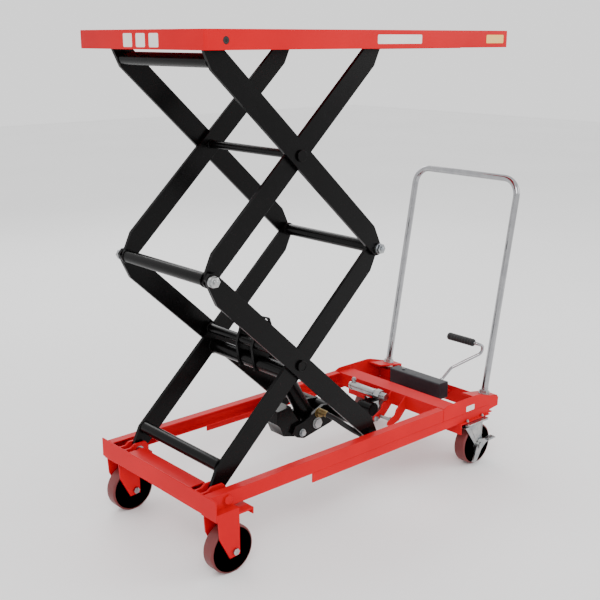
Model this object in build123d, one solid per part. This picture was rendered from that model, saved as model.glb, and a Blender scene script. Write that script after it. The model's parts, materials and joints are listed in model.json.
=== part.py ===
from build123d import *
from math import cos, hypot, pi, radians, sin, sqrt
import os

# Scissor lift table, raised. Millimetres, +Z up, floor at Z = 0, push handle towards +X.
# The stack is laid out from the front pivot line, at X = 0, and every piece is moved by
# ORIGIN_X when it is written, so that the origin lies on the floor under the box's centre.

# ---- driving dimensions ---------------------------------------------------------------
ARM_SPAN = 906.0          # pivot to pivot along one arm
LIFT_ANGLE = 44.2         # arm slope in the raised pose
PIVOT_Z = 231.0           # height of the lowest pivots
ARM_WIDTH = 66.0
ARM_THICK = 12.0
PIVOT_OFFSET = 9.0        # end pivots lie this far off the arm's centre line
INNER_Y = 199.0           # inside face of the inner arms
OUTER_Y = 214.0           # inside face of the outer arms
PIN_R = 10.0
RUN = 0.3                 # running clearance on radius
HALF_WIDTH = 305.0        # half the width of the table and of the front beam
TABLE_X0 = -62.0
TABLE_LENGTH = 1220.0
TABLE_TOP = 1525.0
TABLE_SKIRT = 52.0
SHEET = 3.0
RAIL_Y = 275.0            # outer face of the side rails
RAIL_Z0 = 208.0
RAIL_Z1 = 254.0
RAIL_WALL = 4.0
RAIL_FLANGE = 30.0
FRONT_X = -64.0           # outer face of the front beam
REAR_X = 1259.0
WHEEL_R = 75.0
WHEEL_WIDTH = 45.0
FRONT_WHEEL_X = 6.0
FRONT_WHEEL_Y = 264.0
SWIVEL_X = 1117.0
CASTOR_Y = 258.0
CASTOR_TRAIL = 18.0
HANDLE_TUBE_R = 12.0
HANDLE_TILT = 10.2        # degrees back from upright
HANDLE_FOOT = (1217.0, 240.0, 238.0)
HANDLE_LENGTH = 788.0     # from the socket plate to the top bar, along the tube
CYLINDER_FOOT = (560.0, 242.0)
CYLINDER_HEAD = (335.0, 630.0)
ORIGIN_X = 652.5

# ---- pivots, as (x, z) ------------------------------------------------------------------
STAGE_RUN = ARM_SPAN * cos(radians(LIFT_ANGLE))
STAGE_RISE = ARM_SPAN * sin(radians(LIFT_ANGLE))
FRONT = [(0.0, PIVOT_Z + stage * STAGE_RISE) for stage in range(3)]
REAR = [(STAGE_RUN, PIVOT_Z + stage * STAGE_RISE) for stage in range(3)]
MIDDLE = [(STAGE_RUN / 2, PIVOT_Z + (stage + 0.5) * STAGE_RISE) for stage in range(2)]


# ---- helpers ----------------------------------------------------------------------------
def box(x0, x1, y0, y1, z0, z1):
    return Pos((x0 + x1) / 2, (y0 + y1) / 2, (z0 + z1) / 2) * Box(x1 - x0, y1 - y0, z1 - z0)


def side_plate(outline, y0, y1):
    """A plate with its outline in X and Z, from y0 to y1."""
    edge = Polyline([(x, y0, z) for x, z in outline], close=True)
    return extrude(make_face(edge), amount=y1 - y0, dir=(0, 1, 0))


def bar_across(centre, radius, y0, y1):
    """A round bar along Y about the point (x, z)."""
    plane = Plane(origin=(centre[0], y0, centre[1]), z_dir=(0, 1, 0))
    return Solid.make_cylinder(radius, y1 - y0, plane)


def tube_across(centre, radius, wall, y0, y1):
    return bar_across(centre, radius, y0, y1) - bar_across(centre, radius - wall, y0 - 1, y1 + 1)


def rod(start, end, radius):
    start, end = Vector(*start), Vector(*end)
    return Solid.make_cylinder(radius, (end - start).length, Plane(origin=start, z_dir=end - start))


def hex_across(centre, across_flats, y0, y1):
    """A hexagonal head or nut along Y."""
    plane = Plane(origin=(centre[0], y0, centre[1]), x_dir=(1, 0, 0), z_dir=(0, 1, 0))
    return extrude(plane * RegularPolygon(across_flats / sqrt(3), 6), amount=y1 - y0)


def mirrored(shape):
    return mirror(shape, about=Plane.XZ)


def pair(shape):
    """The piece on the +Y side and its twin on the -Y side."""
    return [shape, mirrored(shape)]


def along(start, end, distance):
    """The point at a distance from start towards end, as (x, z)."""
    length = hypot(end[0] - start[0], end[1] - start[1])
    share = distance / length
    return (start[0] + (end[0] - start[0]) * share, start[1] + (end[1] - start[1]) * share)


def save(name, *shapes):
    solids = [solid for shape in shapes for solid in shape.solids()]
    placed = [Pos(-ORIGIN_X, 0, 0) * solid for solid in solids]
    export_step(Compound(children=placed), f"parts/{name}.step")


# ---- scissor arms -----------------------------------------------------------------------
HOLE_R = PIN_R + RUN
NOSE_TAPER = 62.0         # the wide side of an arm starts to narrow this far before its pivot
NOSE = [(-8, -24), (-20, -11), (-18, 9), (6, 20)]     # an arm's end about its pivot, (u, v)


def scissor_arm(low, high, y0, holes):
    """A flat bar from its low pivot to its high one. Its centre line passes above the low
    pivot and below the high one, so that the folded stages lie flat over each other."""
    ux, uz = (high[0] - low[0]) / ARM_SPAN, (high[1] - low[1]) / ARM_SPAN
    upward = 1.0 if ux > 0 else -1.0
    vx, vz = -uz * upward, ux * upward

    def place(u, v):
        return (low[0] + ux * u + vx * v, low[1] + uz * u + vz * v)

    wide_side = PIVOT_OFFSET * (1 - 2 * NOSE_TAPER / ARM_SPAN) + ARM_WIDTH / 2
    nose = NOSE + [(NOSE_TAPER, wide_side)]
    outline = [place(u, v) for u, v in nose] + [place(ARM_SPAN - u, -v) for u, v in nose]
    arm = side_plate(outline, y0, y0 + ARM_THICK)
    for point, radius in holes:
        arm -= bar_across(point, radius, y0 - 1, y0 + ARM_THICK + 1)
    return arm


def scissor_arms():
    rod_hole = CENTRE_ROD_R + RUN
    arms = {
        "lower_inner_arms": (FRONT[0], REAR[1], INNER_Y, [(FRONT[0], HOLE_R)]),
        "lower_outer_arms": (REAR[0], FRONT[1], OUTER_Y, [(MIDDLE[0], HOLE_R), (FRONT[1], HOLE_R)]),
        "upper_inner_arms": (FRONT[1], REAR[2], INNER_Y, []),
        "upper_outer_arms": (
            REAR[1],
            FRONT[2],
            OUTER_Y,
            [(REAR[1], HOLE_R), (MIDDLE[1], rod_hole), (FRONT[2], HOLE_R)],
        ),
    }
    for name, (low, high, y0, holes) in arms.items():
        save(name, *pair(scissor_arm(low, high, y0, holes)))


# ---- cross tubes and pivot pins ---------------------------------------------------------
TUBE_WALL = 4.0
FOOT_TUBE = (33.0, 297.0)
LEVER_TUBE = (305.0, 575.0)
THRUST_TUBE = (320.0, 510.0)
BRACKET_TUBE = (631.0, 270.0)
TOP_TUBE = (26.0, 1446.0)
CENTRE_ROD_R = 12.5
OUTER_FACE = OUTER_Y + ARM_THICK
INNER_FACE = INNER_Y + ARM_THICK


def cross_tube(centre, radius, reach):
    return tube_across(centre, radius, TUBE_WALL, -reach, reach)


def arm_pin(centre, start, head_r):
    """A pivot pin that is fast in an inner arm, with its head over the outer arm."""
    shank = bar_across(centre, PIN_R, start, OUTER_FACE + 1)
    return shank + bar_across(centre, head_r, OUTER_FACE + 1, OUTER_FACE + 8)


def pivot_bolt(centre):
    """A pivot pin that ends in a washer, a nut and a thread end."""
    pin = arm_pin(centre, INNER_FACE, 17)
    nut = hex_across(centre, 28, OUTER_FACE + 8, OUTER_FACE + 18)
    return pin + nut + bar_across(centre, 7, OUTER_FACE + 18, OUTER_FACE + 22)


def scissor_tubes():
    lower = ((FOOT_TUBE, 19), (LEVER_TUBE, 15), (THRUST_TUBE, 24), (REAR[1], 19))
    save("lower_inner_tubes", *[cross_tube(centre, radius, INNER_Y) for centre, radius in lower])
    centre_rod = bar_across(MIDDLE[1], CENTRE_ROD_R, -INNER_Y, INNER_Y)
    stub = bar_across(MIDDLE[1], CENTRE_ROD_R, INNER_FACE, OUTER_FACE + 1)
    stub += bar_across(MIDDLE[1], 17, OUTER_FACE + 1, OUTER_FACE + 8)
    save("upper_inner_tubes", cross_tube(FRONT[1], 19, INNER_Y), centre_rod, *pair(stub))
    save("top_tube", cross_tube(TOP_TUBE, 19, OUTER_Y))
    save("lower_centre_pins", *pair(arm_pin(MIDDLE[0], INNER_FACE, 17)))
    save("rear_joint_bolts", *pair(pivot_bolt(REAR[1])))
    save("front_joint_bolts", *pair(pivot_bolt(FRONT[1])))


# ---- rollers ----------------------------------------------------------------------------
ROLLER_R = 18.0
ROLLER_Y0 = 247.0
ROLLER_Y1 = 268.0


def rollers():
    for stage, face in (("lower", OUTER_FACE), ("upper", INNER_FACE)):
        centre = REAR[0] if stage == "lower" else REAR[2]
        shank = bar_across(centre, PIN_R, face, ROLLER_Y1 + 0.7)
        collar = bar_across(centre, 14, face, ROLLER_Y0 - 1)
        save(f"{stage}_roller_pins", *pair(shank + collar))
        wheel = bar_across(centre, ROLLER_R, ROLLER_Y0, ROLLER_Y1)
        wheel = chamfer(wheel.edges().filter_by(GeomType.CIRCLE), 1.5)
        wheel -= bar_across(centre, PIN_R + RUN, ROLLER_Y0 - 1, ROLLER_Y1 + 1)
        left, right = pair(wheel)
        save(f"{stage}_roller_left", left)
        save(f"{stage}_roller_right", right)


# ---- table ------------------------------------------------------------------------------
def table():
    x1 = TABLE_X0 + TABLE_LENGTH
    z0 = TABLE_TOP - TABLE_SKIRT
    tray = box(TABLE_X0, x1, -HALF_WIDTH, HALF_WIDTH, z0, TABLE_TOP)
    tray = fillet(tray.edges().filter_by(Axis.Z), 8)
    tray = fillet(tray.faces().sort_by(Axis.Z)[-1].edges(), 2.5)
    inside = box(TABLE_X0 + SHEET, x1 - SHEET, SHEET - HALF_WIDTH, HALF_WIDTH - SHEET, z0 - 1,
                 TABLE_TOP - SHEET)
    tray -= fillet(inside.edges().filter_by(Axis.Z), 5)
    tray -= bar_across((FRONT[2][0] + 4, FRONT[2][1] + 3), 10, -HALF_WIDTH - 1, HALF_WIDTH + 1)
    save("table_tray", tray)
    table_ears()
    table_channels()


EAR_R = 21.0


def table_ears():
    x, z = FRONT[2]
    under_sheet = TABLE_TOP - SHEET
    ears = []
    for y0 in (INNER_Y + 4, OUTER_FACE + 3):
        web = side_plate([(x - 34, under_sheet), (x + 34, under_sheet), (x + EAR_R, z),
                          (x - EAR_R, z)], y0, y0 + 8)
        ear = web + bar_across((x, z), EAR_R, y0, y0 + 8)
        ear -= bar_across((x, z), PIN_R + 0.1, y0 - 1, y0 + 9)
        ears += pair(ear)
    pin = bar_across((x, z), PIN_R, INNER_Y + 1, OUTER_FACE + 14)
    save("table_ears", *ears, *pair(pin))


def table_channels():
    """Inward-facing channels under the sheet, in which the upper rollers run."""
    x0, x1 = STAGE_RUN - 60, ARM_SPAN + 50
    top = TABLE_TOP - SHEET
    floor = REAR[2][1] - ROLLER_R - 1
    roof = REAR[2][1] + ROLLER_R + 1
    web_y = RAIL_Y - RAIL_WALL
    channel = box(x0, x1, RAIL_Y - RAIL_FLANGE, RAIL_Y, floor - RAIL_WALL, top)
    channel -= box(x0 - 1, x1 + 1, RAIL_Y - RAIL_FLANGE - 1, web_y, floor, roof)
    save("table_channels", *pair(channel))


# ---- base frame -------------------------------------------------------------------------
BEAM_Z0 = 192.0
EAR_THICK = 8.0


def front_beam():
    lip = BEAM_Z0 + 4
    ledge = RAIL_Z1 - 8
    inner = 165.0
    face = box(FRONT_X, FRONT_X + 4, -HALF_WIDTH, HALF_WIDTH, BEAM_Z0, RAIL_Z1)
    trough = box(FRONT_X + 4, 2, -inner, inner, BEAM_Z0, ledge)
    trough -= box(FRONT_X + 4, -2, -inner - 1, inner + 1, lip, ledge - 4)
    save("front_beam", face + trough)


def pivot_ears():
    """Plates either side of each inner arm's foot, welded to the front beam."""
    x0 = FRONT_X + 4
    outline = [(x0, 196), (36, 196), (36, 240), (24, 255), (-18, 255), (-30, 246), (x0, 246)]
    ears = []
    for y0 in (INNER_Y - 6 - EAR_THICK, INNER_FACE + 4):
        ear = side_plate(outline, y0, y0 + EAR_THICK)
        ear -= bar_across(FRONT[0], PIN_R + 0.1, y0 - 1, y0 + EAR_THICK + 1)
        ears += pair(ear)
    save("pivot_ears", *ears)
    pin = bar_across(FRONT[0], PIN_R, INNER_Y - 24, RAIL_Y)
    pin += bar_across(FRONT[0], 14, RAIL_Y, RAIL_Y + 7)
    save("base_pivot_pins", *pair(pin))


REAR_PLATE_X = 948.0
STRIP_X0, STRIP_X1 = 330.0, 1200.0
STRIP_Z = 177.0


def side_rails():
    x0 = FRONT_X + 4
    web_y = RAIL_Y - RAIL_WALL
    rail = box(x0, REAR_PLATE_X, RAIL_Y - RAIL_FLANGE, RAIL_Y, RAIL_Z0, RAIL_Z1)
    rail -= box(x0 - 1, REAR_PLATE_X + 1, RAIL_Y - RAIL_FLANGE - 1, web_y, RAIL_Z0 + RAIL_WALL,
                RAIL_Z1 - RAIL_WALL)
    rail -= bar_across(FRONT[0], PIN_R + 0.1, web_y - 1, RAIL_Y + 1)
    strip = box(STRIP_X0, STRIP_X1, web_y, RAIL_Y, STRIP_Z, RAIL_Z0)
    save("side_rails", *pair(rail), *pair(strip))
    outline = [(REAR_PLATE_X, RAIL_Z0), (REAR_PLATE_X, RAIL_Z1), (971, 263), (1124, 263),
               (1146, 260), (REAR_X, 226), (REAR_X - 2, 192), (1209, 187), (1209, STRIP_Z),
               (STRIP_X1, STRIP_Z), (STRIP_X1, RAIL_Z0)]
    save("rear_side_plates", *pair(side_plate(outline, web_y, RAIL_Y)))


CROSS_X0 = 960.0
CROSS_X1 = 1030.0
CROSS_TOP = 250.0


def cross_members():
    web_y = RAIL_Y - RAIL_WALL
    beam = box(CROSS_X0, CROSS_X1, -web_y, web_y, 198, CROSS_TOP)
    beam -= box(CROSS_X0 + 4, CROSS_X1 - 4, -web_y - 1, web_y + 1, 197, CROSS_TOP - 4)
    rear = box(STRIP_X1, 1230, -web_y, web_y, 172, 212)
    rear -= box(STRIP_X1 + 4, 1231, -web_y - 1, web_y + 1, 176, 208)
    rear += box(STRIP_X1, STRIP_X1 + 4, -190, 190, 212, 234)
    tray = box(CROSS_X1, 1200, -100, 80, 212, 218)
    save("cross_members", beam, rear, tray)


def front_forks():
    plate = 4.0
    inner_y = 228.0
    outer_y = 300.0
    x0 = FRONT_X + 4
    top = RAIL_Z0
    leg = [(x0, top), (23, top), (23, 61), (-14, 58), (-49, 128), (-53, 186), (x0, 186)]
    fork = side_plate(leg, outer_y - plate, outer_y) + side_plate(leg, inner_y, inner_y + plate)
    fork += box(x0, 23, inner_y, outer_y, top - plate, top)
    fork += box(x0, 75, inner_y, outer_y, 186, 192)
    fork += box(71, 75, inner_y, outer_y, 172, 192)
    fork -= bar_across((FRONT_WHEEL_X, WHEEL_R), AXLE_R + 0.1, inner_y - 1, outer_y + 1)
    save("front_forks", *pair(fork))


# ---- wheels -----------------------------------------------------------------------------
AXLE_R = 6.0
TREAD_R = 68.0
HUB_HALF = 25.0


def ring_profile(points):
    return make_face(Polyline([(r, 0, w) for r, w in points], close=True))


def wheel_parts(x, y):
    """A tread and a centre, turned about a Y axis through (x, y, WHEEL_R)."""
    half = WHEEL_WIDTH / 2
    tread = Solid.make_cylinder(WHEEL_R, WHEEL_WIDTH, Plane((0, 0, -half)))
    tread = fillet(tread.edges().filter_by(GeomType.CIRCLE), 6)
    tread -= Solid.make_cylinder(TREAD_R, WHEEL_WIDTH + 2, Plane((0, 0, -half - 1)))
    bore = AXLE_R + RUN
    centre = revolve(ring_profile([
        (bore, -HUB_HALF), (20, -HUB_HALF), (21, -10), (57, -6), (59, -19), (TREAD_R, -19),
        (TREAD_R, 19), (59, 19), (57, 6), (21, 10), (20, HUB_HALF), (bore, HUB_HALF)]), Axis.Z)
    place = Pos(x, y, WHEEL_R) * Rot(90, 0, 0)
    return place * tread, place * centre


def axle_bolt(x, reach_in, reach_out):
    """A bolt along Y with a hexagonal head outside and a nut inside."""
    centre = (x, WHEEL_R)
    bolt = bar_across(centre, AXLE_R, reach_in - 12, reach_out + 3)
    bolt += hex_across(centre, 19, reach_out, reach_out + 7)
    return bolt + hex_across(centre, 19, reach_in - 9, reach_in)


def front_wheels():
    for side, sign in (("left", 1), ("right", -1)):
        tread, centre = wheel_parts(FRONT_WHEEL_X, sign * FRONT_WHEEL_Y)
        save(f"front_{side}_tread", tread)
        save(f"front_{side}_wheel_centre", centre)
    save("front_axle_bolts", *pair(axle_bolt(FRONT_WHEEL_X, 228, 300)))


# ---- rear castors -----------------------------------------------------------------------
MOUNT_Z = 173.0           # underside of the castor mounting plates on the frame
PLATE_THICK = 6.0
LEG_IN = 28.0
LEG_OUT = 31.5
WHEEL_X = SWIVEL_X + CASTOR_TRAIL


def castor_mounts():
    y0, y1 = 200.0, 285.0
    plate = box(1036, 1200, y0, y1, MOUNT_Z, MOUNT_Z + 4)
    web = box(1036, 1040, y0, y1, 137, MOUNT_Z)
    gusset = side_plate([(1040, MOUNT_Z), (1058, MOUNT_Z), (1040, 145)], y0, y0 + 4)
    save("castor_mounts", *pair(plate + web + gusset))
    top = box(SWIVEL_X - 56, SWIVEL_X + 56, CASTOR_Y - 44, CASTOR_Y + 44, MOUNT_Z - PLATE_THICK,
              MOUNT_Z)
    top = fillet(top.edges().filter_by(Axis.Z), 8)
    bolts = []
    for dx in (-42, 42):
        centre = Plane((SWIVEL_X + dx, CASTOR_Y + 22, MOUNT_Z - PLATE_THICK - 7), z_dir=(0, 0, 1))
        bolts += pair(extrude(centre * RegularPolygon(8, 6), amount=7))
    save("castor_plates", *pair(top), *bolts)


def castor_fork():
    x0, x1 = SWIVEL_X - 60, SWIVEL_X + 36
    crown = box(x0, x1, CASTOR_Y - LEG_OUT, CASTOR_Y + LEG_OUT, 153, 158)
    head = Solid.make_cylinder(33, MOUNT_Z - PLATE_THICK - RUN - 158,
                               Plane((SWIVEL_X, CASTOR_Y, 158)))
    outline = [(x0, 158), (x1, 158), (WHEEL_X + 14, 84), (WHEEL_X + 8, 62), (WHEEL_X - 16, 60),
               (WHEEL_X - 22, 80)]
    fork = crown + head
    for y0 in (CASTOR_Y - LEG_OUT, CASTOR_Y + LEG_IN):
        fork += side_plate(outline, y0, y0 + LEG_OUT - LEG_IN)
    axle = (WHEEL_X, WHEEL_R)
    return fork - bar_across(axle, AXLE_R + 0.1, CASTOR_Y - 40, CASTOR_Y + 40)


def castor_axle():
    """The wheel's axle, with the boss that the brake pedal turns on at its outer end."""
    centre = (WHEEL_X, WHEEL_R)
    inner, outer = CASTOR_Y - LEG_OUT, CASTOR_Y + LEG_OUT
    axle = bar_across(centre, AXLE_R, inner - 11, outer + 12)
    axle += hex_across(centre, 19, inner - 8, inner)
    return axle + bar_across(centre, 12, outer + 9, outer + 13)


PEDAL_TIP = (1205.0, 88.0)
PEDAL_HEEL = (1101.0, 18.0)


def brake_pedal():
    """A flat lever on the outside of the fork, with a foot tread at each end."""
    y0 = CASTOR_Y + LEG_OUT + 1
    y1 = y0 + 7
    x, z = WHEEL_X, WHEEL_R
    tip_x, tip_z = PEDAL_TIP
    heel_x, heel_z = PEDAL_HEEL
    toe = [(x + 28, z + 14), (x + 28, z + 20), (tip_x - 4, tip_z + 8), (tip_x - 1, tip_z + 3)]
    arm = [(x - 2, z + 24), (x + 28, z + 20), (tip_x - 4, tip_z + 8), PEDAL_TIP, (x + 30, z),
           (x + 10, z - 14), (heel_x + 14, heel_z - 4), (heel_x - 4, heel_z), (x - 20, z - 2)]
    pedal = side_plate(arm, y0, y1)
    pedal += bar_across((x, z), 17, y0, y1)
    pedal += side_plate(toe, y0, y0 + 22)
    return pedal - bar_across((x, z), AXLE_R + RUN, y0 - 1, y1 + 1)


def rear_castors():
    castor_mounts()
    for side, turn in (("left", lambda shape: shape), ("right", mirrored)):
        tread, centre = wheel_parts(WHEEL_X, CASTOR_Y)
        save(f"castor_{side}_fork", turn(castor_fork()), turn(castor_axle()))
        save(f"castor_{side}_tread", turn(tread))
        save(f"castor_{side}_wheel_centre", turn(centre))
        save(f"castor_{side}_brake_pedal", turn(brake_pedal()))


# ---- push handle ------------------------------------------------------------------------
SOCKET_THICK = 6.0
HANDLE_BEND = 62.0
NUT_HEIGHT = 10.0


def foot_plane(y):
    """The plane of a socket plate's top face, about the handle tube's axis."""
    tilt = radians(HANDLE_TILT)
    return Plane((HANDLE_FOOT[0], y, HANDLE_FOOT[2]), x_dir=(cos(tilt), 0, -sin(tilt)),
                 z_dir=(sin(tilt), 0, cos(tilt)))


def push_handle():
    y = HANDLE_FOOT[1]
    plane = foot_plane(0)
    tail = SOCKET_THICK + NUT_HEIGHT + 3
    corners = [(0, -y, -tail), (0, -y, HANDLE_LENGTH), (0, y, HANDLE_LENGTH), (0, y, -tail)]
    path = FilletPolyline(*[plane.from_local_coords(Vector(*point)) for point in corners],
                          radius=HANDLE_BEND)
    wall = 2.0
    section = (path ^ 0) * (Circle(HANDLE_TUBE_R) - Circle(HANDLE_TUBE_R - wall))
    save("push_handle", sweep(section, path=path))
    hole_r = HANDLE_TUBE_R + 0.2
    nut = extrude(RegularPolygon(19, 6), amount=NUT_HEIGHT)
    nut -= Solid.make_cylinder(hole_r, NUT_HEIGHT + 2, Plane((0, 0, -1)))
    washer = Solid.make_cylinder(21, 2.5) - Solid.make_cylinder(hole_r, 5, Plane((0, 0, -1)))
    sockets, nuts = [], []
    for side in (-1, 1):
        place = foot_plane(side * y).location
        outer = side * (RAIL_Y - RAIL_WALL - y)
        inner = -side * 35.0
        plate = box(-88, 42, min(inner, outer), max(inner, outer), -SOCKET_THICK, 0)
        plate += box(36, 42, min(inner, outer), max(inner, outer), -30, 0)
        plate -= Solid.make_cylinder(hole_r, 20, Plane((0, 0, -10)))
        sockets.append(place * plate)
        nuts.append(place * (Pos(0, 0, 2.5) * nut + washer))
        nuts.append(place * Pos(0, 0, -SOCKET_THICK - NUT_HEIGHT) * nut)
    save("handle_sockets", *sockets)
    save("handle_nuts", *nuts)


# ---- foot pump --------------------------------------------------------------------------
PEDAL_PIVOT = (1105.0, 246.0)
PEDAL_Y = -77.0
PEDAL_ROD_R = 6.0
COVER_X0, COVER_X1 = 1080.0, 1130.0
COVER_Y0, COVER_Y1 = -141.0, 105.0
COVER_Z0, COVER_Z1 = 218.0, 280.0
PUMP_AXIS = (923.0, 236.0)
PUMP_START, PUMP_END = -25.0, 160.0
PUMP_BODY = (903.0, 180.0)
RIB_Y = (-18.0, -88.0)    # the -Y faces of the two ribs
RIB_THICK = 6.0


def foot_pump():
    x, z = PUMP_AXIS
    hex_start, hex_end = 0.0, 26.0
    barrel = bar_across(PUMP_AXIS, 13, PUMP_START, PUMP_END)
    barrel += bar_across(PUMP_AXIS, 15, hex_end, PUMP_END - 12)
    barrel += hex_across(PUMP_AXIS, 34, hex_start, hex_end)
    outlet_y = PUMP_END - 17
    outlet = rod((x, outlet_y, z + 8), (x, outlet_y, z + 26), 9)
    outlet += rod((x, outlet_y, z + 26), (x, outlet_y, z + 32), 6)
    save("pump_barrel", barrel + outlet)
    body_x, body_z = PUMP_BODY
    body_r = 25.0
    body = bar_across(PUMP_BODY, body_r, 20, 75) + bar_across(PUMP_BODY, 18, 75, 90)
    lug_top = body_z + body_r + 1
    lug = box(body_x, CROSS_X0, 40, 70, lug_top - 8, lug_top)
    save("pump_body", body + lug)
    brace = box(x - 6, CROSS_X0, 45, 115, z - 21, z - 15)
    outline = [(CROSS_X0, CROSS_TOP), (CROSS_X0, 198), (925, 164), (880, 152), (866, 160),
               (868, 172), (905, 190), (912, 208)]
    ribs = [side_plate(outline, y0, y0 + RIB_THICK) for y0 in RIB_Y]
    save("pump_ribs", *ribs, brace)
    near_rib, far_rib = min(RIB_Y) + RIB_THICK, max(RIB_Y)
    tie_bolt = bar_across((898, 168), 6, near_rib, far_rib)
    tie_bolt += hex_across((898, 168), 17, near_rib + 9, near_rib + 17)
    toe_bolt = hex_across((876, 164), 17, far_rib - 8, far_rib)
    screw = Plane((1108, 60, COVER_Z1), z_dir=(0, 0, 1))
    save("pump_bolts", tie_bolt, toe_bolt, Solid.make_cylinder(6, 4, screw))


def pump_cover():
    wall = 3.0
    cover = box(COVER_X0, COVER_X1, COVER_Y0, COVER_Y1, COVER_Z0, COVER_Z1)
    cover = fillet(cover.edges().filter_by(Axis.Y).sort_by(Axis.Z)[-2:], 5)
    cover -= box(COVER_X0 + wall, COVER_X1 - wall, COVER_Y0 + wall, COVER_Y1 - wall, COVER_Z0 - 1,
                 COVER_Z1 - wall)
    cover -= box(COVER_X1 - wall - 1, COVER_X1 + 1, PEDAL_Y - 9, PEDAL_Y + 9, COVER_Z0 - 1, 266)
    save("pump_cover", cover)


def foot_lever():
    x, z = PEDAL_PIVOT
    cheeks = []
    for y0 in (PEDAL_Y - 16, PEDAL_Y + 11):
        cheek = side_plate([(x - 14, 218), (x + 14, 218), (x + 10, z + 10), (x - 10, z + 10)], y0,
                           y0 + 5)
        cheeks.append(cheek - bar_across(PEDAL_PIVOT, 5.1, y0 - 1, y0 + 6))
    save("lever_bracket", *cheeks, bar_across(PEDAL_PIVOT, 5, PEDAL_Y - 18, PEDAL_Y + 18))
    hub = bar_across(PEDAL_PIVOT, 12, PEDAL_Y - 10, PEDAL_Y + 10)
    route = [(x + 6, PEDAL_Y, z + 1), (1173, PEDAL_Y, 262), (1223, PEDAL_Y, 294),
             (1317, -143, 348), (1319, -148, 378), (1296, -134, 388), (1296, -4, 388)]
    bends = [30, 30, 22, 14, 12]
    path = FilletPolyline(*route, radius=bends)
    lever = sweep((path ^ 0) * Circle(PEDAL_ROD_R), path=path)
    hub -= bar_across(PEDAL_PIVOT, 5 + RUN, PEDAL_Y - 11, PEDAL_Y + 11)
    lever -= bar_across(PEDAL_PIVOT, 5 + RUN, PEDAL_Y - 11, PEDAL_Y + 11)
    save("foot_lever", hub + lever)
    grip = bar_across((1296, 388), 14, -122, 0)
    grip = fillet(grip.edges().filter_by(GeomType.CIRCLE), 4)
    save("foot_lever_grip", grip - bar_across((1296, 388), PEDAL_ROD_R, -123, -3.9))


# ---- lift cylinder ----------------------------------------------------------------------
CHEEK_Y0 = 34.0
CHEEK_Y1 = 46.0
FOOT_PIN_R = 11.0
HEAD_PIN_R = 11.0
HEAD_HOLE_R = 23.0        # the head pin's lost motion in the lever plates
BLOCK_BOLT = (493.0, 225.0)
LEVER_Y0 = 33.0
BARREL_R = 28.0
RAM_R = 17.0


def cylinder_bracket():
    """Cheeks and a hydraulic block that hang under the lower cross tube."""
    x, z = BRACKET_TUBE
    outline = [(x + 2, z + 23), (x + 23, z + 8), (x + 20, z - 20), (x - 5, 228), (500, 203),
               (470, 213), (450, 232), (462, 256), (496, 262), (x - 42, 299)]
    cheek = side_plate(outline, CHEEK_Y0, CHEEK_Y1)
    cheek -= bar_across(BRACKET_TUBE, 21.1, CHEEK_Y0 - 1, CHEEK_Y1 + 1)
    cheek -= bar_across(CYLINDER_FOOT, FOOT_PIN_R + 0.1, CHEEK_Y0 - 1, CHEEK_Y1 + 1)
    save("cylinder_bracket", *pair(cheek), cross_tube(BRACKET_TUBE, 21, OUTER_Y))
    block = side_plate([(392, 276), (406, 262), (421, 227), (468, 214), (515, 216), (500, 250),
                        (465, 300), (452, 326), (394, 320)], -CHEEK_Y0, CHEEK_Y0)
    save("hydraulic_block", block)
    bolt = hex_across(BLOCK_BOLT, 19, -CHEEK_Y1 - 8, -CHEEK_Y1)
    foot_pin = bar_across(CYLINDER_FOOT, FOOT_PIN_R, -CHEEK_Y1, CHEEK_Y1)
    foot_pin += hex_across(CYLINDER_FOOT, 30, -CHEEK_Y1 - 8, -CHEEK_Y1)
    save("bracket_bolts", bolt, foot_pin)


def lever_plates():
    """Plates on the lower inner arms' tubes that the ram's head pin works in."""
    x, z = CYLINDER_HEAD
    plate = side_plate([(x - 31, z - 6), (x - 24, z + 20), (x - 3, z + 31), (x + 22, z + 22),
                        (x + 31, z - 4), (350, 520), (345, 486), (296, 486), (284, 566)],
                       LEVER_Y0, LEVER_Y0 + 10)
    for centre, radius in ((CYLINDER_HEAD, HEAD_HOLE_R), (LEVER_TUBE, 15.1), (THRUST_TUBE, 24.1)):
        plate -= bar_across(centre, radius, LEVER_Y0 - 1, LEVER_Y0 + 11)
    save("lever_plates", *pair(plate))


def lift_cylinder():
    foot, head = CYLINDER_FOOT, CYLINDER_HEAD

    def point(distance):
        x, z = along(foot, head, distance)
        return (x, 0, z)

    barrel = rod(point(20), point(290), BARREL_R)
    barrel += bar_across(foot, 22, -26, 26)
    barrel -= bar_across(foot, FOOT_PIN_R + RUN, -40, 40)
    barrel -= rod(point(60), point(291), RAM_R + RUN)
    gland = rod(point(290), point(322), BARREL_R + 3) - rod(point(289), point(323), RAM_R + RUN)
    save("cylinder_barrel", barrel, gland)
    length = hypot(head[0] - foot[0], head[1] - foot[1])
    ram = rod(point(160), point(length), RAM_R) + bar_across(head, 20, -22, 22)
    ram -= bar_across(head, HEAD_PIN_R + 0.1, -30, 30)
    save("ram", ram, bar_across(head, HEAD_PIN_R, -47, 47))


# ---- hydraulic hose ---------------------------------------------------------------------
HOSE_R = 9.0
HOSE_ROUTE = [(566, -66, 284), (576, -108, 277), (586, -146, 260), (608, -180, 238),
              (640, -195, 217)]
FITTING_R = 11.0


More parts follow.
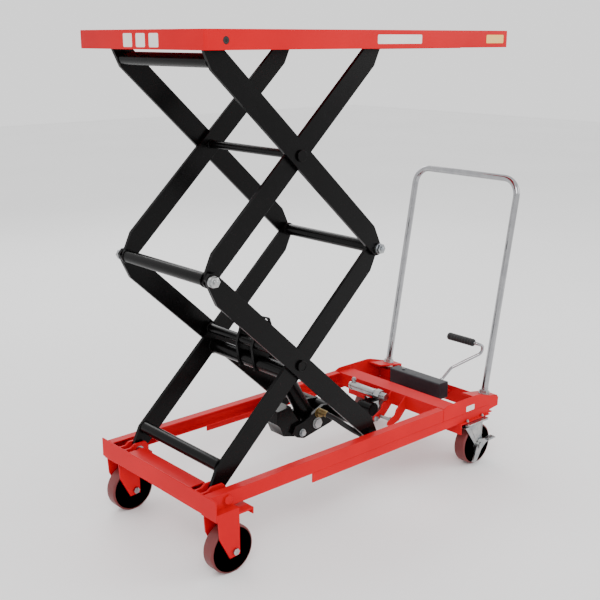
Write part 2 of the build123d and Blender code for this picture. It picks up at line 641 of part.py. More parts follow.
def hose_fittings():
    """A union on the near cheek and a clipped one inside the end of the near outer arm."""
    start, after = Vector(*HOSE_ROUTE[0]), Vector(*HOSE_ROUTE[1])
    inward = (start - after).normalized()
    union = rod(start, start + inward * 14, FITTING_R)
    boss_x, boss_z = 566.0, 278.0
    union += hex_across((boss_x, boss_z), 27, -CHEEK_Y1 - 12, -CHEEK_Y1)
    end, before = Vector(*HOSE_ROUTE[-1]), Vector(*HOSE_ROUTE[-2])
    outward = (end - before).normalized()
    stop = end + outward * 14
    clip = rod(end, stop, FITTING_R)
    clip += box(end.X + 3, end.X + 14, -OUTER_Y, end.Y, end.Z - 10, end.Z + 6)
    save("hose_fittings", union, clip)


def hose():
    route = [Vector(*point) for point in HOSE_ROUTE]
    bends = []
    for before, here, after in zip(route, route[1:], route[2:]):
        turn = radians((here - before).get_angle(after - here))
        shorter = min((here - before).length, (after - here).length)
        bends.append(0.45 * shorter * cos(turn / 2) / sin(turn / 2))
    path = FilletPolyline(*route, radius=bends)
    tube = sweep((path ^ 0) * Circle(HOSE_R), path=path)
    print("hose length", round(path.length, 1), "radii", [round(bend, 1) for bend in bends])
    print("hose volume ratio", round(tube.volume / (pi * HOSE_R**2 * path.length), 4))
    save("hydraulic_hose", tube)


os.makedirs("parts", exist_ok=True)
scissor_arms()
scissor_tubes()
rollers()
table()
front_beam()
pivot_ears()
side_rails()
cross_members()
front_forks()
front_wheels()
rear_castors()
push_handle()
foot_pump()
pump_cover()
foot_lever()
cylinder_bracket()
lever_plates()
lift_cylinder()
hose_fittings()
hose()
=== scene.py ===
import json
from math import cos, pi, radians, sin

import bmesh
import bpy
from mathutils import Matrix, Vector, noise


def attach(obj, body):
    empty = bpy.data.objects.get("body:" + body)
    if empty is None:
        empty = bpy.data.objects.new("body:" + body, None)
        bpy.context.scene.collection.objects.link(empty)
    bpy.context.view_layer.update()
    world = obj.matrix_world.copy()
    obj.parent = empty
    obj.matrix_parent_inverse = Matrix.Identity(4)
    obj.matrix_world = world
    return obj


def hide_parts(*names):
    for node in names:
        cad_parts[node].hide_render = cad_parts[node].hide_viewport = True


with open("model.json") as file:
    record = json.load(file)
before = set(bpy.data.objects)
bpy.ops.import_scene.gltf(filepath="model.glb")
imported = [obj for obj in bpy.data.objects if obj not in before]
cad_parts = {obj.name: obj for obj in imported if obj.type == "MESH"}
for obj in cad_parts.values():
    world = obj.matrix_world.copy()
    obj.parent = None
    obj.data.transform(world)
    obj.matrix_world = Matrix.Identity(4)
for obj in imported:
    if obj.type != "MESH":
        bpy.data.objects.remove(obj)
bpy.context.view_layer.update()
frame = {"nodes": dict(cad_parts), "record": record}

# ---- the layout, in metres --------------------------------------------------------------
ORIGIN_X = 0.6525         # the front pivot line lies this far behind the frame's origin
ARM_SPAN = 0.906
LIFT_ANGLE = radians(44.2)
PIVOT_Z = 0.231
INNER_Y, OUTER_Y, ARM_THICK = 0.199, 0.214, 0.012
OUTER_FACE = OUTER_Y + ARM_THICK
RAIL_Y, RAIL_Z0 = 0.275, 0.208
REAR_PLATE_X = 0.948
HALF_WIDTH = 0.305
WHEEL_R = 0.075
FRONT_WHEEL_X, FRONT_WHEEL_Y = 0.006, 0.264
SWIVEL_X, CASTOR_WHEEL_X, CASTOR_Y = 1.117, 1.135, 0.258
CASTOR_BOLT_SPREAD, CASTOR_BOLT_Y, MOUNT_TOP = 0.042, 0.281, 0.177
UNDER_SHEET = 1.5215      # just under the platform's sheet, where its welds lie
SKIRT_MIDDLE = 1.499      # the height of the labels on the skirt
PUMP_X, PUMP_Z = 0.923, 0.236
LEVER_PIVOT = (1.105, 0.246)
GRIP = (1.296, 0.388)
CYLINDER_FOOT, CYLINDER_HEAD = (0.560, 0.242), (0.335, 0.630)
HANDLE_FOOT, HANDLE_TILT = (1.217, 0.240, 0.238), radians(10.2)
COVER_X0, COVER_X1 = 1.080, 1.130
STAGE_RUN = ARM_SPAN * cos(LIFT_ANGLE)
STAGE_RISE = ARM_SPAN * sin(LIFT_ANGLE)
FRONT = [(0.0, PIVOT_Z + stage * STAGE_RISE) for stage in range(3)]
REAR = [(STAGE_RUN, PIVOT_Z + stage * STAGE_RISE) for stage in range(3)]
MIDDLE = [(STAGE_RUN / 2, PIVOT_Z + (stage + 0.5) * STAGE_RISE) for stage in range(2)]


def at(x, y, z):
    """A point given from the front pivot line, in the frame."""
    return Vector((x - ORIGIN_X, y, z))


# ---- material helpers -------------------------------------------------------------------
class Surface:
    """A material with one shader, and short calls for the nodes that feed it."""

    def __init__(self, name, **sockets):
        self.material = bpy.data.materials.new(name)
        self.material.use_nodes = True
        self.tree = self.material.node_tree
        self.shader = self.tree.nodes["Principled BSDF"]
        for socket, value in sockets.items():
            self.shader.inputs[socket.replace("_", " ")].default_value = value
        self.place = self.tree.nodes.new("ShaderNodeTexCoord").outputs["Object"]

    def link(self, source, socket):
        self.tree.links.new(source, self.shader.inputs[socket])

    def node(self, kind, **values):
        made = self.tree.nodes.new(kind)
        for name, value in values.items():
            setattr(made, name, value)
        return made

    def noise(self, scale, detail=3.0, stretch=(1, 1, 1)):
        mapping = self.node("ShaderNodeMapping")
        mapping.inputs["Scale"].default_value = stretch
        self.tree.links.new(self.place, mapping.inputs["Vector"])
        made = self.node("ShaderNodeTexNoise")
        made.inputs["Scale"].default_value = scale
        made.inputs["Detail"].default_value = detail
        self.tree.links.new(mapping.outputs["Vector"], made.inputs["Vector"])
        return made.outputs["Fac"]

    def ramp(self, source, *stops):
        made = self.node("ShaderNodeValToRGB")
        elements = made.color_ramp.elements
        while len(elements) < len(stops):
            elements.new(0.5)
        for element, (place, colour) in zip(elements, stops):
            element.position = place
            element.color = (*colour, 1) if len(colour) == 3 else colour
        self.tree.links.new(source, made.inputs["Fac"])
        return made.outputs["Color"]

    def span(self, source, low, high, start=0.0, end=1.0):
        made = self.node("ShaderNodeMapRange")
        for socket, value in (("From Min", start), ("From Max", end), ("To Min", low),
                              ("To Max", high)):
            made.inputs[socket].default_value = value
        self.tree.links.new(source, made.inputs["Value"])
        return made.outputs["Result"]

    def mix(self, share, low, high):
        made = self.node("ShaderNodeMix", data_type="RGBA")
        self.tree.links.new(share, made.inputs["Factor"])
        for socket, value in ((6, low), (7, high)):
            if isinstance(value, tuple):
                made.inputs[socket].default_value = (*value, 1)
            else:
                self.tree.links.new(value, made.inputs[socket])
        return made.outputs[2]

    def product(self, one, other):
        made = self.node("ShaderNodeMath", operation="MULTIPLY", use_clamp=True)
        self.tree.links.new(one, made.inputs[0])
        self.tree.links.new(other, made.inputs[1])
        return made.outputs[0]

    def edges(self, low=0.52, high=0.62):
        """High along convex edges."""
        pointed = self.node("ShaderNodeNewGeometry").outputs["Pointiness"]
        return self.span(pointed, 0.0, 1.0, low, high)

    def upward(self):
        """High on faces that look up, where dust lies."""
        split = self.node("ShaderNodeSeparateXYZ")
        normal = self.node("ShaderNodeNewGeometry").outputs["Normal"]
        self.tree.links.new(normal, split.inputs[0])
        return self.span(split.outputs["Z"], 0.0, 1.0, 0.6, 1.0)

    def bump(self, source, distance, strength=1.0):
        made = self.node("ShaderNodeBump")
        made.inputs["Distance"].default_value = distance
        made.inputs["Strength"].default_value = strength
        self.tree.links.new(source, made.inputs["Height"])
        self.link(made.outputs["Normal"], "Normal")


def paint(name, colour, shade, bare, rough, shine, dust):
    """Sprayed paint: faint orange peel, drifts of tone, a little dust, chips along edges."""
    made = Surface(name, Coat_Weight=0.015, Coat_Roughness=0.15, Specular_IOR_Level=shine)
    tone = made.ramp(made.noise(5.0, 4.0), (0.3, shade), (0.7, colour))
    dusty = made.product(made.upward(), made.span(made.noise(22.0, 6.0), 0.0, dust, 0.45, 0.8))
    dull = tuple(channel * 0.8 + 0.05 for channel in colour)
    tone = made.mix(dusty, tone, dull)
    chips = made.product(made.edges(), made.span(made.noise(160.0, 5.0), 0.0, 0.6, 0.64, 0.72))
    made.link(made.mix(chips, tone, bare), "Base Color")
    made.link(made.span(made.noise(40.0, 5.0), rough - 0.04, rough + 0.08), "Roughness")
    made.bump(made.noise(120.0, 2.0), 0.00004, 0.2)
    return made.material


def plated(name, colour, tint, rough, spread, grime_level=0.45):
    """Plated steel: metal with faint clouds of tint and fine handling marks."""
    made = Surface(name, Metallic=1.0)
    clouds = made.ramp(made.noise(30.0, 4.0), (0.35, colour), (0.7, tint))
    grime = made.span(made.noise(90.0, 6.0), 0.0, grime_level, 0.5, 0.8)
    made.link(made.mix(grime, clouds, tuple(channel * 0.4 for channel in colour)), "Base Color")
    made.link(made.span(made.noise(120.0, 5.0), rough, rough + spread), "Roughness")
    made.bump(made.noise(300.0, 3.0), 0.00003, 0.2)
    return made.material


def moulded(name, colour, worn, rough, scale, depth):
    """Rubber and plastic: a fine moulded texture, paler where it is rubbed."""
    made = Surface(name, Specular_IOR_Level=0.3)
    rubbed = made.product(made.edges(0.5, 0.6), made.span(made.noise(60.0, 4.0), 0.2, 1.0))
    drift = made.ramp(made.noise(14.0, 5.0), (0.35, colour),
                      (0.75, tuple(channel * 1.4 + 0.002 for channel in colour)))
    made.link(made.mix(rubbed, drift, worn), "Base Color")
    made.link(made.span(made.noise(70.0, 5.0), rough - 0.08, rough + 0.12), "Roughness")
    made.bump(made.noise(scale, 3.0), depth, 0.3)
    return made.material


RED = paint("red_powder_coat", (0.58, 0.003, 0.010), (0.49, 0.002, 0.008), (0.18, 0.04, 0.03),
            0.30, 0.06, 0.03)
BLACK = paint("black_gloss_paint", (0.0020, 0.0018, 0.0019), (0.0012, 0.0011, 0.0012),
              (0.04, 0.04, 0.045), 0.24, 0.10, 0.01)
ZINC = plated("bright_zinc", (0.42, 0.42, 0.41), (0.26, 0.28, 0.30), 0.20, 0.20)
CHROME = plated("polished_chrome", (0.36, 0.36, 0.37), (0.30, 0.30, 0.315), 0.06, 0.1, 0.12)
BRASS = plated("dull_brass", (0.24, 0.18, 0.08), (0.17, 0.12, 0.05), 0.25, 0.2)
RUBBER = moulded("hand_grip_rubber", (0.006, 0.006, 0.007), (0.03, 0.03, 0.03), 0.5, 700, 0.0001)
HOSE = moulded("hose_rubber", (0.005, 0.005, 0.006), (0.03, 0.03, 0.03), 0.32, 500, 0.0001)
PLASTIC = moulded("cover_satin_black", (0.008, 0.008, 0.011), (0.04, 0.04, 0.045), 0.36, 500,
                  0.0001)
CENTRE = moulded("wheel_centre_black", (0.013, 0.012, 0.012), (0.05, 0.05, 0.05), 0.30, 400,
                 0.0001)
TREAD = moulded("tread_polyurethane", (0.11, 0.015, 0.015), (0.22, 0.10, 0.10), 0.42, 300, 0.0001)
LABEL = moulded("blank_label", (0.66, 0.64, 0.60), (0.7, 0.68, 0.66), 0.35, 200, 0.00005)
AMBER = moulded("blank_amber_label", (0.72, 0.38, 0.02), (0.7, 0.5, 0.2), 0.35, 200, 0.00005)
DARK = moulded("plug_rubber", (0.004, 0.004, 0.004), (0.02, 0.02, 0.02), 0.5, 300, 0.0001)


# ---- from the frame's nodes to finished pieces ------------------------------------------
BODY_OF = {node: body for body, nodes in frame["record"]["behaviour"]["bodies"].items()
           for node in nodes}


def new_piece(name, mesh, body, material):
    piece = bpy.data.objects.new(name, mesh)
    bpy.context.scene.collection.objects.link(piece)
    mesh.materials.clear()
    mesh.materials.append(material)
    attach(piece, body)
    return piece


def smooth_by_angle(mesh, limit=35):
    for face in mesh.polygons:
        face.use_smooth = True
    mesh.set_sharp_from_angle(angle=radians(limit))


def softened(node, material, width=0.001, segments=2):
    """A node's own shape with its pressed, cut or turned edges rounded over."""
    mesh = frame["nodes"][node].data.copy()
    work = bmesh.new()
    work.from_mesh(mesh)
    bmesh.ops.remove_doubles(work, verts=work.verts, dist=1e-6)
    bmesh.ops.dissolve_limit(work, angle_limit=radians(0.5), verts=work.verts, edges=work.edges)
    work.to_mesh(mesh)
    work.free()
    piece = new_piece(f"{node}_finished", mesh, BODY_OF[node], material)
    bevel = piece.modifiers.new("rounded_edges", "BEVEL")
    bevel.width = width
    bevel.segments = segments
    bevel.limit_method = "ANGLE"
    bevel.angle_limit = radians(35)
    bevel.use_clamp_overlap = True
    bevel.harden_normals = False
    smooth_by_angle(mesh)
    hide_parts(node)
    return piece


FINISH = {
    "red_paint": (RED, 0.0012), "black_paint": (BLACK, 0.0012), "zinc": (ZINC, 0.0006),
    "chrome": (CHROME, 0.0005), "rubber": (RUBBER, 0.0008), "brass": (BRASS, 0.0005),
    "black_plastic": (PLASTIC, 0.0012), "wheel_centre": (CENTRE, 0.001), "tread": (TREAD, 0.001),
}
SLOT_OF = {part["node"]: part["material_slot"] for part in frame["record"]["subparts"]}
for node in frame["nodes"]:
    if node != "hydraulic_hose":
        material, width = FINISH[SLOT_OF[node]]
        softened(node, material, width)


# ---- shapes for the small pieces --------------------------------------------------------
def turned(name, centre, axis, profile, body, material, sides=40, hollow=False):
    """A turned shape about an axis: the profile is (radius, place along the axis) pairs."""
    work = bmesh.new()
    axis = Vector(axis).normalized()
    side = axis.orthogonal().normalized()
    other = axis.cross(side)
    loops = []
    for radius, place in profile:
        turn = [2 * pi * step / sides for step in range(sides)]
        loops.append([work.verts.new(at(*centre) + axis * place
                                     + (side * cos(angle) + other * sin(angle)) * radius)
                      for angle in turn])
    pairs = list(zip(loops, loops[1:]))
    if hollow:
        pairs.append((loops[-1], loops[0]))
    else:
        work.faces.new(loops[0])
        work.faces.new(loops[-1])
    for low, high in pairs:
        for step in range(sides):
            following = (step + 1) % sides
            work.faces.new((low[step], low[following], high[following], high[step]))
    bmesh.ops.recalc_face_normals(work, faces=work.faces)
    mesh = bpy.data.meshes.new(name)
    work.to_mesh(mesh)
    work.free()
    smooth_by_angle(mesh)
    return new_piece(name, mesh, body, material)


def ring(name, centre, axis, inner, outer, thick, body, material):
    """A flat ring with its outer corners rounded."""
    soft = min(thick, outer - inner) * 0.3
    profile = [(inner, 0), (outer, 0), (outer, thick - soft), (outer - soft, thick), (inner, thick)]
    return turned(name, centre, axis, profile, body, material, hollow=True)


def domed_head(name, centre, axis, radius, height, body, material, sides=6):
    """A bolt head: six-sided with a chamfered crown, or round with more sides."""
    profile = [(radius, 0), (radius, height * 0.75), (radius * 0.88, height), (radius * 0.3, height)]
    return turned(name, centre, axis, profile, body, material, sides)


def bead(name, points, body, material, radius=0.0028, closed=False):
    """A weld bead along a seam, with the ripples that a hand-run weld leaves."""
    places = [at(*point) for point in points]
    if closed:
        places.append(places[0])
    spacing = 0.0022
    path = []
    for start, end in zip(places, places[1:]):
        count = max(2, int((end - start).length / spacing))
        path += [start.lerp(end, step / count) for step in range(count)]
    path.append(places[-1])
    work = bmesh.new()
    sides = 8
    loops = []
    for index, place in enumerate(path):
        before, after = path[max(index - 1, 0)], path[min(index + 1, len(path) - 1)]
        heading = (after - before).normalized()
        side = heading.orthogonal().normalized()
        other = heading.cross(side)
        ripple = 1.0 + 0.12 * sin(index * 1.9) + 0.25 * noise.noise(place * 60.0)
        loops.append([work.verts.new(place + (side * cos(2 * pi * turn / sides)
                                              + other * sin(2 * pi * turn / sides))
                                     * radius * ripple) for turn in range(sides)])
    for low, high in zip(loops, loops[1:]):
        for turn in range(sides):
            following = (turn + 1) % sides
            work.faces.new((low[turn], low[following], high[following], high[turn]))
    work.faces.new(loops[0])
    work.faces.new(loops[-1])
    bmesh.ops.recalc_face_normals(work, faces=work.faces)
    mesh = bpy.data.meshes.new(name)
    work.to_mesh(mesh)
    work.free()
    smooth_by_angle(mesh, 80)
    return new_piece(name, mesh, body, material)


def seam_round(name, x, z, radius, y, body, material, bead_radius=0.0028):
    """A weld round a tube that runs across the table."""
    turns = 28
    circle = [(x + radius * cos(2 * pi * turn / turns), y, z + radius * sin(2 * pi * turn / turns))
              for turn in range(turns)]
    return bead(name, circle, body, material, bead_radius, closed=True)


def patch(name, centre, across, up, width, height, thick, body, material, corner=0.004):
    """A thin plate with round corners, as for a label or a pad, standing off a face."""
    across, up = Vector(across).normalized(), Vector(up).normalized()
    off = across.cross(up)
    outline = []
    for quarter, (right, top) in enumerate(((1, 1), (-1, 1), (-1, -1), (1, -1))):
        for step in range(5):
            angle = pi / 2 * (quarter + step / 4)
            outline.append(across * (right * (width / 2 - corner) + corner * cos(angle))
                           + up * (top * (height / 2 - corner) + corner * sin(angle)))
    work = bmesh.new()
    back = [work.verts.new(at(*centre) + place) for place in outline]
    front = [work.verts.new(at(*centre) + place + off * thick) for place in outline]
    work.faces.new(back)
    work.faces.new(front)
    for index in range(len(outline)):
        following = (index + 1) % len(outline)
        work.faces.new((back[index], back[following], front[following], front[index]))
    bmesh.ops.recalc_face_normals(work, faces=work.faces)
    mesh = bpy.data.meshes.new(name)
    work.to_mesh(mesh)
    work.free()
    return new_piece(name, mesh, body, material)


SIDES = (("left", 1), ("right", -1))
OUTWARD = {1: (0, 1, 0), -1: (0, -1, 0)}


# ---- the small pieces -------------------------------------------------------------------
def labels():
    """Blank stickers: the table's own carry words, which are left out."""
    near = -RAIL_Y
    patch("rail_label", (1.095, near, 0.223), (1, 0, 0), (0, 0, 1), 0.046, 0.020, 0.0004, "base",
          LABEL)
    skirt = -HALF_WIDTH
    for name, x, width, material in (("capacity_strip", 0.643, 0.189, LABEL),
                                     ("makers_strip", 1.090, 0.088, AMBER)):
        patch(name, (x, skirt, SKIRT_MIDDLE), (1, 0, 0), (0, 0, 1), width, 0.026, 0.0004, "platform",
              material)
    for index in range(3):
        patch(f"front_sticker_{index}", (-0.062, 0.047 - 0.063 * index, 1.497), (0, -1, 0),
              (0, 0, 1), 0.044, 0.036, 0.0004, "platform",
              LABEL)


FINISH_OF_HEAD = {"rear_joint": ("zinc", ZINC), "front_joint": ("zinc", ZINC),
                  "lower_centre": ("black_paint", BLACK)}


def arm_joint_details():
    """Washers under the heads, thread ends, and welds round the tubes."""
    joints = (("rear_joint", REAR[1], "lower_inner"), ("front_joint", FRONT[1], "upper_inner"),
              ("lower_centre", MIDDLE[0], "lower_inner"))
    for name, (x, z), body in joints:
        for side, sign in SIDES:
            face = sign * (OUTER_FACE + 0.008)
            slot, material = FINISH_OF_HEAD[name]
            ring(f"{name}_lip_{side}", (x, face, z), OUTWARD[sign], 0.0135, 0.0168, 0.0012, body,
                 material)
    for name, (x, z), body in joints[:2]:
        for side, sign in SIDES:
            tip = sign * (OUTER_FACE + 0.0175)
            threads = [(0.0072 - 0.0008 * (turn % 2), 0.0008 * turn) for turn in range(7)]
            turned(f"{name}_thread_{side}", (x, tip, z), OUTWARD[sign],
                   threads + [(0.0050, 0.0062)], body, ZINC)
    tubes = (("foot_tube", 0.033, 0.297, 0.019, "lower_inner"),
             ("lever_tube", 0.305, 0.575, 0.015, "lower_inner"),
             ("thrust_tube", 0.320, 0.510, 0.024, "lower_inner"),
             ("joint_tube_rear", *REAR[1], 0.019, "lower_inner"),
             ("joint_tube_front", *FRONT[1], 0.019, "upper_inner"),
             ("centre_rod", *MIDDLE[1], 0.0125, "upper_inner"))
    for name, x, z, radius, body in tubes:
        for side, sign in SIDES:
            seam_round(f"{name}_weld_{side}", x, z, radius + 0.0008, sign * (INNER_Y - 0.0008),
                       body, BLACK, 0.0022)
    for side, sign in SIDES:
        seam_round(f"top_tube_weld_{side}", 0.026, 1.446, 0.0198, sign * (OUTER_Y - 0.0008),
                   "upper_outer", BLACK, 0.0022)
        seam_round(f"bracket_tube_weld_{side}", 0.631, 0.270, 0.0218, sign * 0.0468,
                   "lower_outer", BLACK, 0.0022)


def frame_details():
    """Welds of the frame, the rail's seam, the castor nuts and the pivot pins' washers and collars.
    """
    for side, sign in SIDES:
        y = sign * RAIL_Y
        seam_y = y + sign * 0.0003
        bead(f"rail_seam_{side}", [(0.336, seam_y, RAIL_Z0), (1.194, seam_y, RAIL_Z0)], "base",
             RED, 0.0012)
        end_y = y + sign * 0.0002
        bead(f"rail_end_weld_{side}", [(REAR_PLATE_X, end_y, 0.210), (REAR_PLATE_X, end_y, 0.252)],
             "base", RED, 0.0016)
        bead(f"beam_weld_{side}", [(-0.0592, sign * 0.2755, 0.210), (-0.0592, sign * 0.2755, 0.252)],
             "base", RED, 0.0022)
        for ear, depth in (("inner", 0.193), ("outer", 0.215)):
            bead(f"ear_weld_{ear}_{side}", [(-0.0592, sign * depth, 0.200),
                                            (-0.0592, sign * depth, 0.244)],
                 "base", RED, 0.0022)
        for x in (SWIVEL_X - CASTOR_BOLT_SPREAD, SWIVEL_X + CASTOR_BOLT_SPREAD):
            centre = (x, sign * CASTOR_BOLT_Y, MOUNT_TOP)
            ring(f"castor_washer_{side}_{x:.3f}", centre, (0, 0, 1), 0.0032, 0.0056, 0.001, "base",
                 ZINC)
            domed_head(f"castor_nut_{side}_{x:.3f}", (x, sign * CASTOR_BOLT_Y, MOUNT_TOP + 0.001),
                       (0, 0, 1), 0.0054, 0.005, "base", ZINC)
            turned(f"castor_thread_{side}_{x:.3f}", centre, (0, 0, 1),
                   [(0.003, 0), (0.003, 0.008), (0.002, 0.009)], "base", ZINC, 16)
        ring(f"pivot_pin_washer_{side}", (0, sign * (RAIL_Y + 0.0001), PIVOT_Z), OUTWARD[sign],
             0.0142, 0.0175, 0.0016, "base", RED)
        ring(f"pivot_pin_collar_{side}", (0, sign * 0.1825, PIVOT_Z), OUTWARD[sign], 0.0102, 0.0150,
             0.004, "base", ZINC)
        bead(f"socket_weld_{side}", [(1.140, sign * 0.2702, 0.2515), (1.255, sign * 0.2702, 0.2310)],
             "base", RED, 0.0018)
    for x, name in ((0.960, "front"), (1.030, "rear")):
        for side, sign in SIDES:
            bead(f"cross_weld_{name}_{side}", [(x, sign * 0.2705, 0.200), (x, sign * 0.2705, 0.250)],
                 "base", RED, 0.0022)


def table_details():
    """The skirt's hole plugs, and the welds of the ears and the channels."""
    x, z = FRONT[2]
    for side, sign in SIDES:
        ring(f"skirt_plug_{side}", (x + 0.004, sign * (HALF_WIDTH - 0.0022), z + 0.003),
             OUTWARD[sign], 0.0040, 0.0098, 0.0020, "platform", DARK)
        turned(f"skirt_plug_cap_{side}", (x + 0.004, sign * (HALF_WIDTH - 0.0030), z + 0.003),
               OUTWARD[sign], [(0.0070, 0), (0.0070, 0.001), (0.0055, 0.0018), (0.002, 0.0021)],
               "platform", DARK)
        for place, depth in (("inner", 0.203), ("outer", 0.237)):
            bead(f"ear_top_weld_{place}_{side}", [(x - 0.034, sign * depth, UNDER_SHEET),
                                                  (x + 0.034, sign * depth, UNDER_SHEET)],
                 "platform", RED, 0.0024)
        start, end = STAGE_RUN - 0.058, ARM_SPAN + 0.048
        stitches = 5
        for stitch in range(stitches):
            x0 = start + (end - start) * stitch / stitches
            bead(f"channel_weld_{side}_{stitch}", [(x0, sign * 0.2445, UNDER_SHEET),
                                                   (x0 + 0.035, sign * 0.2445, UNDER_SHEET)],
                 "platform", RED, 0.0024)


def wheel_details():
    """Bearing caps, a stepped rim and the dished ribs of each wheel's centre."""
    wheels = [(f"front_{side}_wheel", FRONT_WHEEL_X, sign * FRONT_WHEEL_Y) for side, sign in SIDES]
    wheels += [(f"castor_{side}_wheel", CASTOR_WHEEL_X, sign * CASTOR_Y) for side, sign in SIDES]
    for body, x, y in wheels:
        for face, sign in (("a", 1), ("b", -1)):
            ring(f"{body}_rim_step_{face}", (x, y + sign * 0.0186, WHEEL_R), OUTWARD[sign], 0.0598,
                 0.0655, 0.0012, body, CENTRE)
            ring(f"{body}_mid_step_{face}", (x, y + sign * 0.0065, WHEEL_R), OUTWARD[sign], 0.0360,
                 0.0390, 0.0025, body, CENTRE)
            ring(f"{body}_bearing_{face}", (x, y + sign * 0.0245, WHEEL_R), OUTWARD[sign], 0.0070,
                 0.0150, 0.0008, body, ZINC)
            for spoke in range(8):
                angle = 2 * pi * spoke / 8
                spine = [(x + reach * cos(angle), y + sign * 0.0085, WHEEL_R + reach * sin(angle))
                         for reach in (0.0205, 0.0575)]
                bead(f"{body}_rib_{face}_{spoke}", spine, body, CENTRE, 0.0024)


def castor_details():
    """Race ring over the fork, pressed ribs in its legs, and the pedal's bosses."""
    for side, sign in SIDES:
        body = f"castor_{side}"
        y = sign * CASTOR_Y
        ring(f"{body}_race", (SWIVEL_X, y, 0.1598), (0, 0, 1), 0.0325, 0.0352, 0.0040, body,
             ZINC)
        for leg in (-1, 1):
            face = y + leg * 0.0317
            bead(f"{body}_leg_rib_{leg}", [(SWIVEL_X - 0.030, face, 0.150),
                                           (CASTOR_WHEEL_X - 0.014, face, 0.092)],
                 body, ZINC, 0.0010)
            bead(f"{body}_leg_edge_{leg}", [(SWIVEL_X + 0.030, face, 0.150),
                                            (CASTOR_WHEEL_X + 0.010, face, 0.092)],
                 body, ZINC, 0.0010)
        pedal_face = sign * 0.2975
        pedal = f"castor_{side}_brake"
        ring(f"{pedal}_boss_ring", (CASTOR_WHEEL_X, pedal_face, WHEEL_R), OUTWARD[sign], 0.0130,
             0.0165, 0.0012, pedal, ZINC)
        for step in range(4):
            x = CASTOR_WHEEL_X + 0.034 + 0.009 * step
            bead(f"{pedal}_grip_{step}", [(x, sign * 0.2920, 0.0958 + 0.0002 * step),
                                          (x, sign * 0.3110, 0.0958 + 0.0002 * step)],
                 pedal, ZINC, 0.0011)


def handle_details():
    """Crimp rings where the chrome tube enters its sockets."""
    up = (sin(HANDLE_TILT), 0, cos(HANDLE_TILT))
    for side, sign in SIDES:
        foot = Vector((HANDLE_FOOT[0], sign * HANDLE_FOOT[1], HANDLE_FOOT[2]))
        for name, rise, grown in (("collar", 0.0126, 0.0022), ("crimp", 0.0190, 0.0010)):
            place = foot + Vector(up) * rise
            ring(f"handle_{name}_{side}", tuple(place), up, 0.0119, 0.0120 + grown, 0.003, "base",
                 ZINC)


def lever_details():
    """Raised bands round the rubber grip, and the pedal pin's clips."""
    for band in range(9):
        ring(f"grip_band_{band}", (GRIP[0], -0.116 + 0.013 * band, GRIP[1]), (0, 1, 0), 0.0136,
             0.0146, 0.004, "lever", RUBBER)
    for side, y in (("near", -0.0965), ("far", -0.0590)):
        ring(f"pedal_pin_clip_{side}", (LEVER_PIVOT[0], y, LEVER_PIVOT[1]), (0, 1, 0), 0.0050,
             0.0078, 0.0014, "base", ZINC)


def pump_details():
    """Threads and glands on the pump, and the cover's hems and screw rim."""
    for turn in range(6):
        ring(f"pump_thread_{turn}", (PUMP_X, -0.022 + 0.003 * turn, PUMP_Z), (0, 1, 0), 0.0128,
             0.0136, 0.0015, "base", ZINC)
    for place in (0.030, 0.146):
        ring(f"pump_gland_{place:.3f}", (PUMP_X, place, PUMP_Z), (0, 1, 0), 0.0148, 0.0172, 0.005,
             "base", ZINC)
    ring("pump_face_ring", (0.903, 0.0192, 0.180), (0, 1, 0), 0.0160, 0.0210, 0.0012, "base",
         BLACK)
    for side, x in (("front", COVER_X0), ("rear", COVER_X1)):
        bead(f"cover_hem_{side}", [(x, -0.139, 0.222), (x, 0.103, 0.222)], "base",
             PLASTIC, 0.0016)
    ring("cover_screw_rim", (1.108, 0.060, 0.284), (0, 0, 1), 0.0034, 0.0056, 0.0008, "base",
         ZINC)


def cylinder_details():
    """The gland's wiper and spanner ring, and washers at the foot pin, the block's bolt and the
    union.
    """
    foot = Vector((CYLINDER_FOOT[0], 0, CYLINDER_FOOT[1]))
    head = Vector((CYLINDER_HEAD[0], 0, CYLINDER_HEAD[1]))
    axis = (head - foot).normalized()
    seals = (("wiper", 0.3216, 0.0240, 0.004, "rubber", DARK),
             ("ring", 0.296, 0.0325, 0.006, "black_paint", BLACK))
    for name, place, outer, thick, slot, material in seals:
        ring(f"cylinder_{name}", tuple(foot + axis * place), tuple(axis), 0.0175, outer, thick,
             "cylinder", material)
    ring("foot_pin_washer", (CYLINDER_FOOT[0], -0.0461, CYLINDER_FOOT[1]), (0, -1, 0), 0.0112,
         0.0200, 0.0016, "lower_outer", ZINC)
    ring("block_bolt_washer", (0.493, -0.0461, 0.225), (0, -1, 0), 0.0060, 0.0135, 0.0016,
         "lower_outer", ZINC)
    ring("union_washer", (0.566, -0.0461, 0.278), (0, -1, 0), 0.0100, 0.0172, 0.0016, "lower_outer",
         BRASS)


def hose_details():
    """Crimped ferrules over the two ends of the hose."""
    ends = ((HOSE_ROUTE[0], HOSE_ROUTE[1]), (HOSE_ROUTE[-1], HOSE_ROUTE[-2]))
    for end, (place, inward) in enumerate(ends):
        axis = (Vector(inward) - Vector(place)).normalized()
        profile = [(0.0093, 0.0)]
        for groove in range(4):
            profile += [(0.0112, 0.001 + 0.004 * groove), (0.0112, 0.0035 + 0.004 * groove),
                        (0.0104, 0.0040 + 0.004 * groove)]
        profile += [(0.0093, 0.0185)]
        turned(f"hose_ferrule_{end}", place, tuple(axis), profile, "lower_outer", BRASS)


# ---- hydraulic hose ---------------------------------------------------------------------
HOSE_ROUTE = [(0.566, -0.066, 0.284), (0.576, -0.108, 0.277), (0.586, -0.146, 0.260),
              (0.608, -0.180, 0.238), (0.640, -0.195, 0.217)]
HOSE_R = 0.009


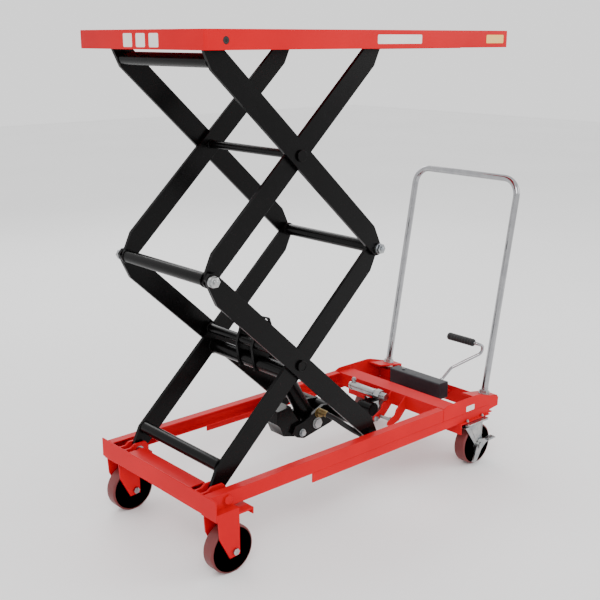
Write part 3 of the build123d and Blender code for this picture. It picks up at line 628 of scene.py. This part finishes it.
def hydraulic_hose():
    line = bpy.data.curves.new("hydraulic_hose", "CURVE")
    line.dimensions = "3D"
    line.bevel_depth = HOSE_R
    line.bevel_resolution = 6
    line.resolution_u = 16
    line.use_fill_caps = True
    spline = line.splines.new("NURBS")
    spline.points.add(len(HOSE_ROUTE) - 1)
    for point, place in zip(spline.points, HOSE_ROUTE):
        point.co = (*at(*place), 1)
    spline.order_u = 3
    spline.use_endpoint_u = True
    line.materials.append(HOSE)
    piece = bpy.data.objects.new("hose_finished", line)
    bpy.context.scene.collection.objects.link(piece)
    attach(piece, "lower_outer")
    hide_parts("hydraulic_hose")


hydraulic_hose()


# ---- floor, light and camera ------------------------------------------------------------
def area_light(name, place, target, size, power, colour=(1, 1, 1)):
    lamp = bpy.data.lights.new(name, "AREA")
    lamp.shape = "RECTANGLE"
    lamp.size, lamp.size_y = size
    lamp.energy = power
    lamp.color = colour
    holder = bpy.data.objects.new(name, lamp)
    holder.location = place
    holder.rotation_euler = (Vector(target) - Vector(place)).to_track_quat("-Z", "Y").to_euler()
    bpy.context.scene.collection.objects.link(holder)


def studio():
    mesh = bpy.data.meshes.new("studio_floor")
    reach = 14.0
    mesh.from_pydata([(-reach, -reach, 0), (reach, -reach, 0), (reach, reach, 0),
                      (-reach, reach, 0)], [], [(0, 1, 2, 3)])
    floor = bpy.data.objects.new("studio_floor", mesh)
    bpy.context.scene.collection.objects.link(floor)
    ground = Surface("studio_floor", Specular_IOR_Level=0.2)
    ground.link(ground.ramp(ground.noise(0.6), (0.3, (0.90, 0.90, 0.90)), (0.7, (0.93, 0.93, 0.93))),
                "Base Color")
    ground.link(ground.span(ground.noise(2.0), 0.55, 0.7), "Roughness")
    mesh.materials.append(ground.material)
    world = bpy.data.worlds.new("studio")
    world.use_nodes = True
    world.node_tree.nodes["Background"].inputs["Color"].default_value = (1.0, 1.0, 1.0, 1)
    world.node_tree.nodes["Background"].inputs["Strength"].default_value = 1.35
    bpy.context.scene.world = world
    area_light("key", (-3.2, -3.4, 4.2), (0, 0, 0.7), (2.6, 2.6), 130)
    area_light("fill", (3.6, -3.2, 2.6), (0, 0, 0.7), (2.4, 2.4), 60)
    area_light("back", (1.5, 4.0, 3.2), (0, 0, 0.8), (3.0, 2.0), 70)


def photo_camera():
    """The camera stands 42 degrees round from the side, about as high as the platform."""
    lens = bpy.data.cameras.new("photo_camera")
    lens.sensor_width = 36.0
    lens.lens = 58.17
    camera = bpy.data.objects.new("photo_camera", lens)
    camera.location = at(-1.525, -2.294, 1.504)
    aim = at(0.5227, 0.0, 0.6711)
    camera.rotation_euler = (aim - camera.location).to_track_quat("-Z", "Y").to_euler()
    bpy.context.scene.collection.objects.link(camera)
    bpy.context.scene.camera = camera


for add in (labels, arm_joint_details, frame_details, table_details, wheel_details,
            castor_details, handle_details, lever_details, pump_details, cylinder_details,
            hose_details):
    add()
studio()
photo_camera()
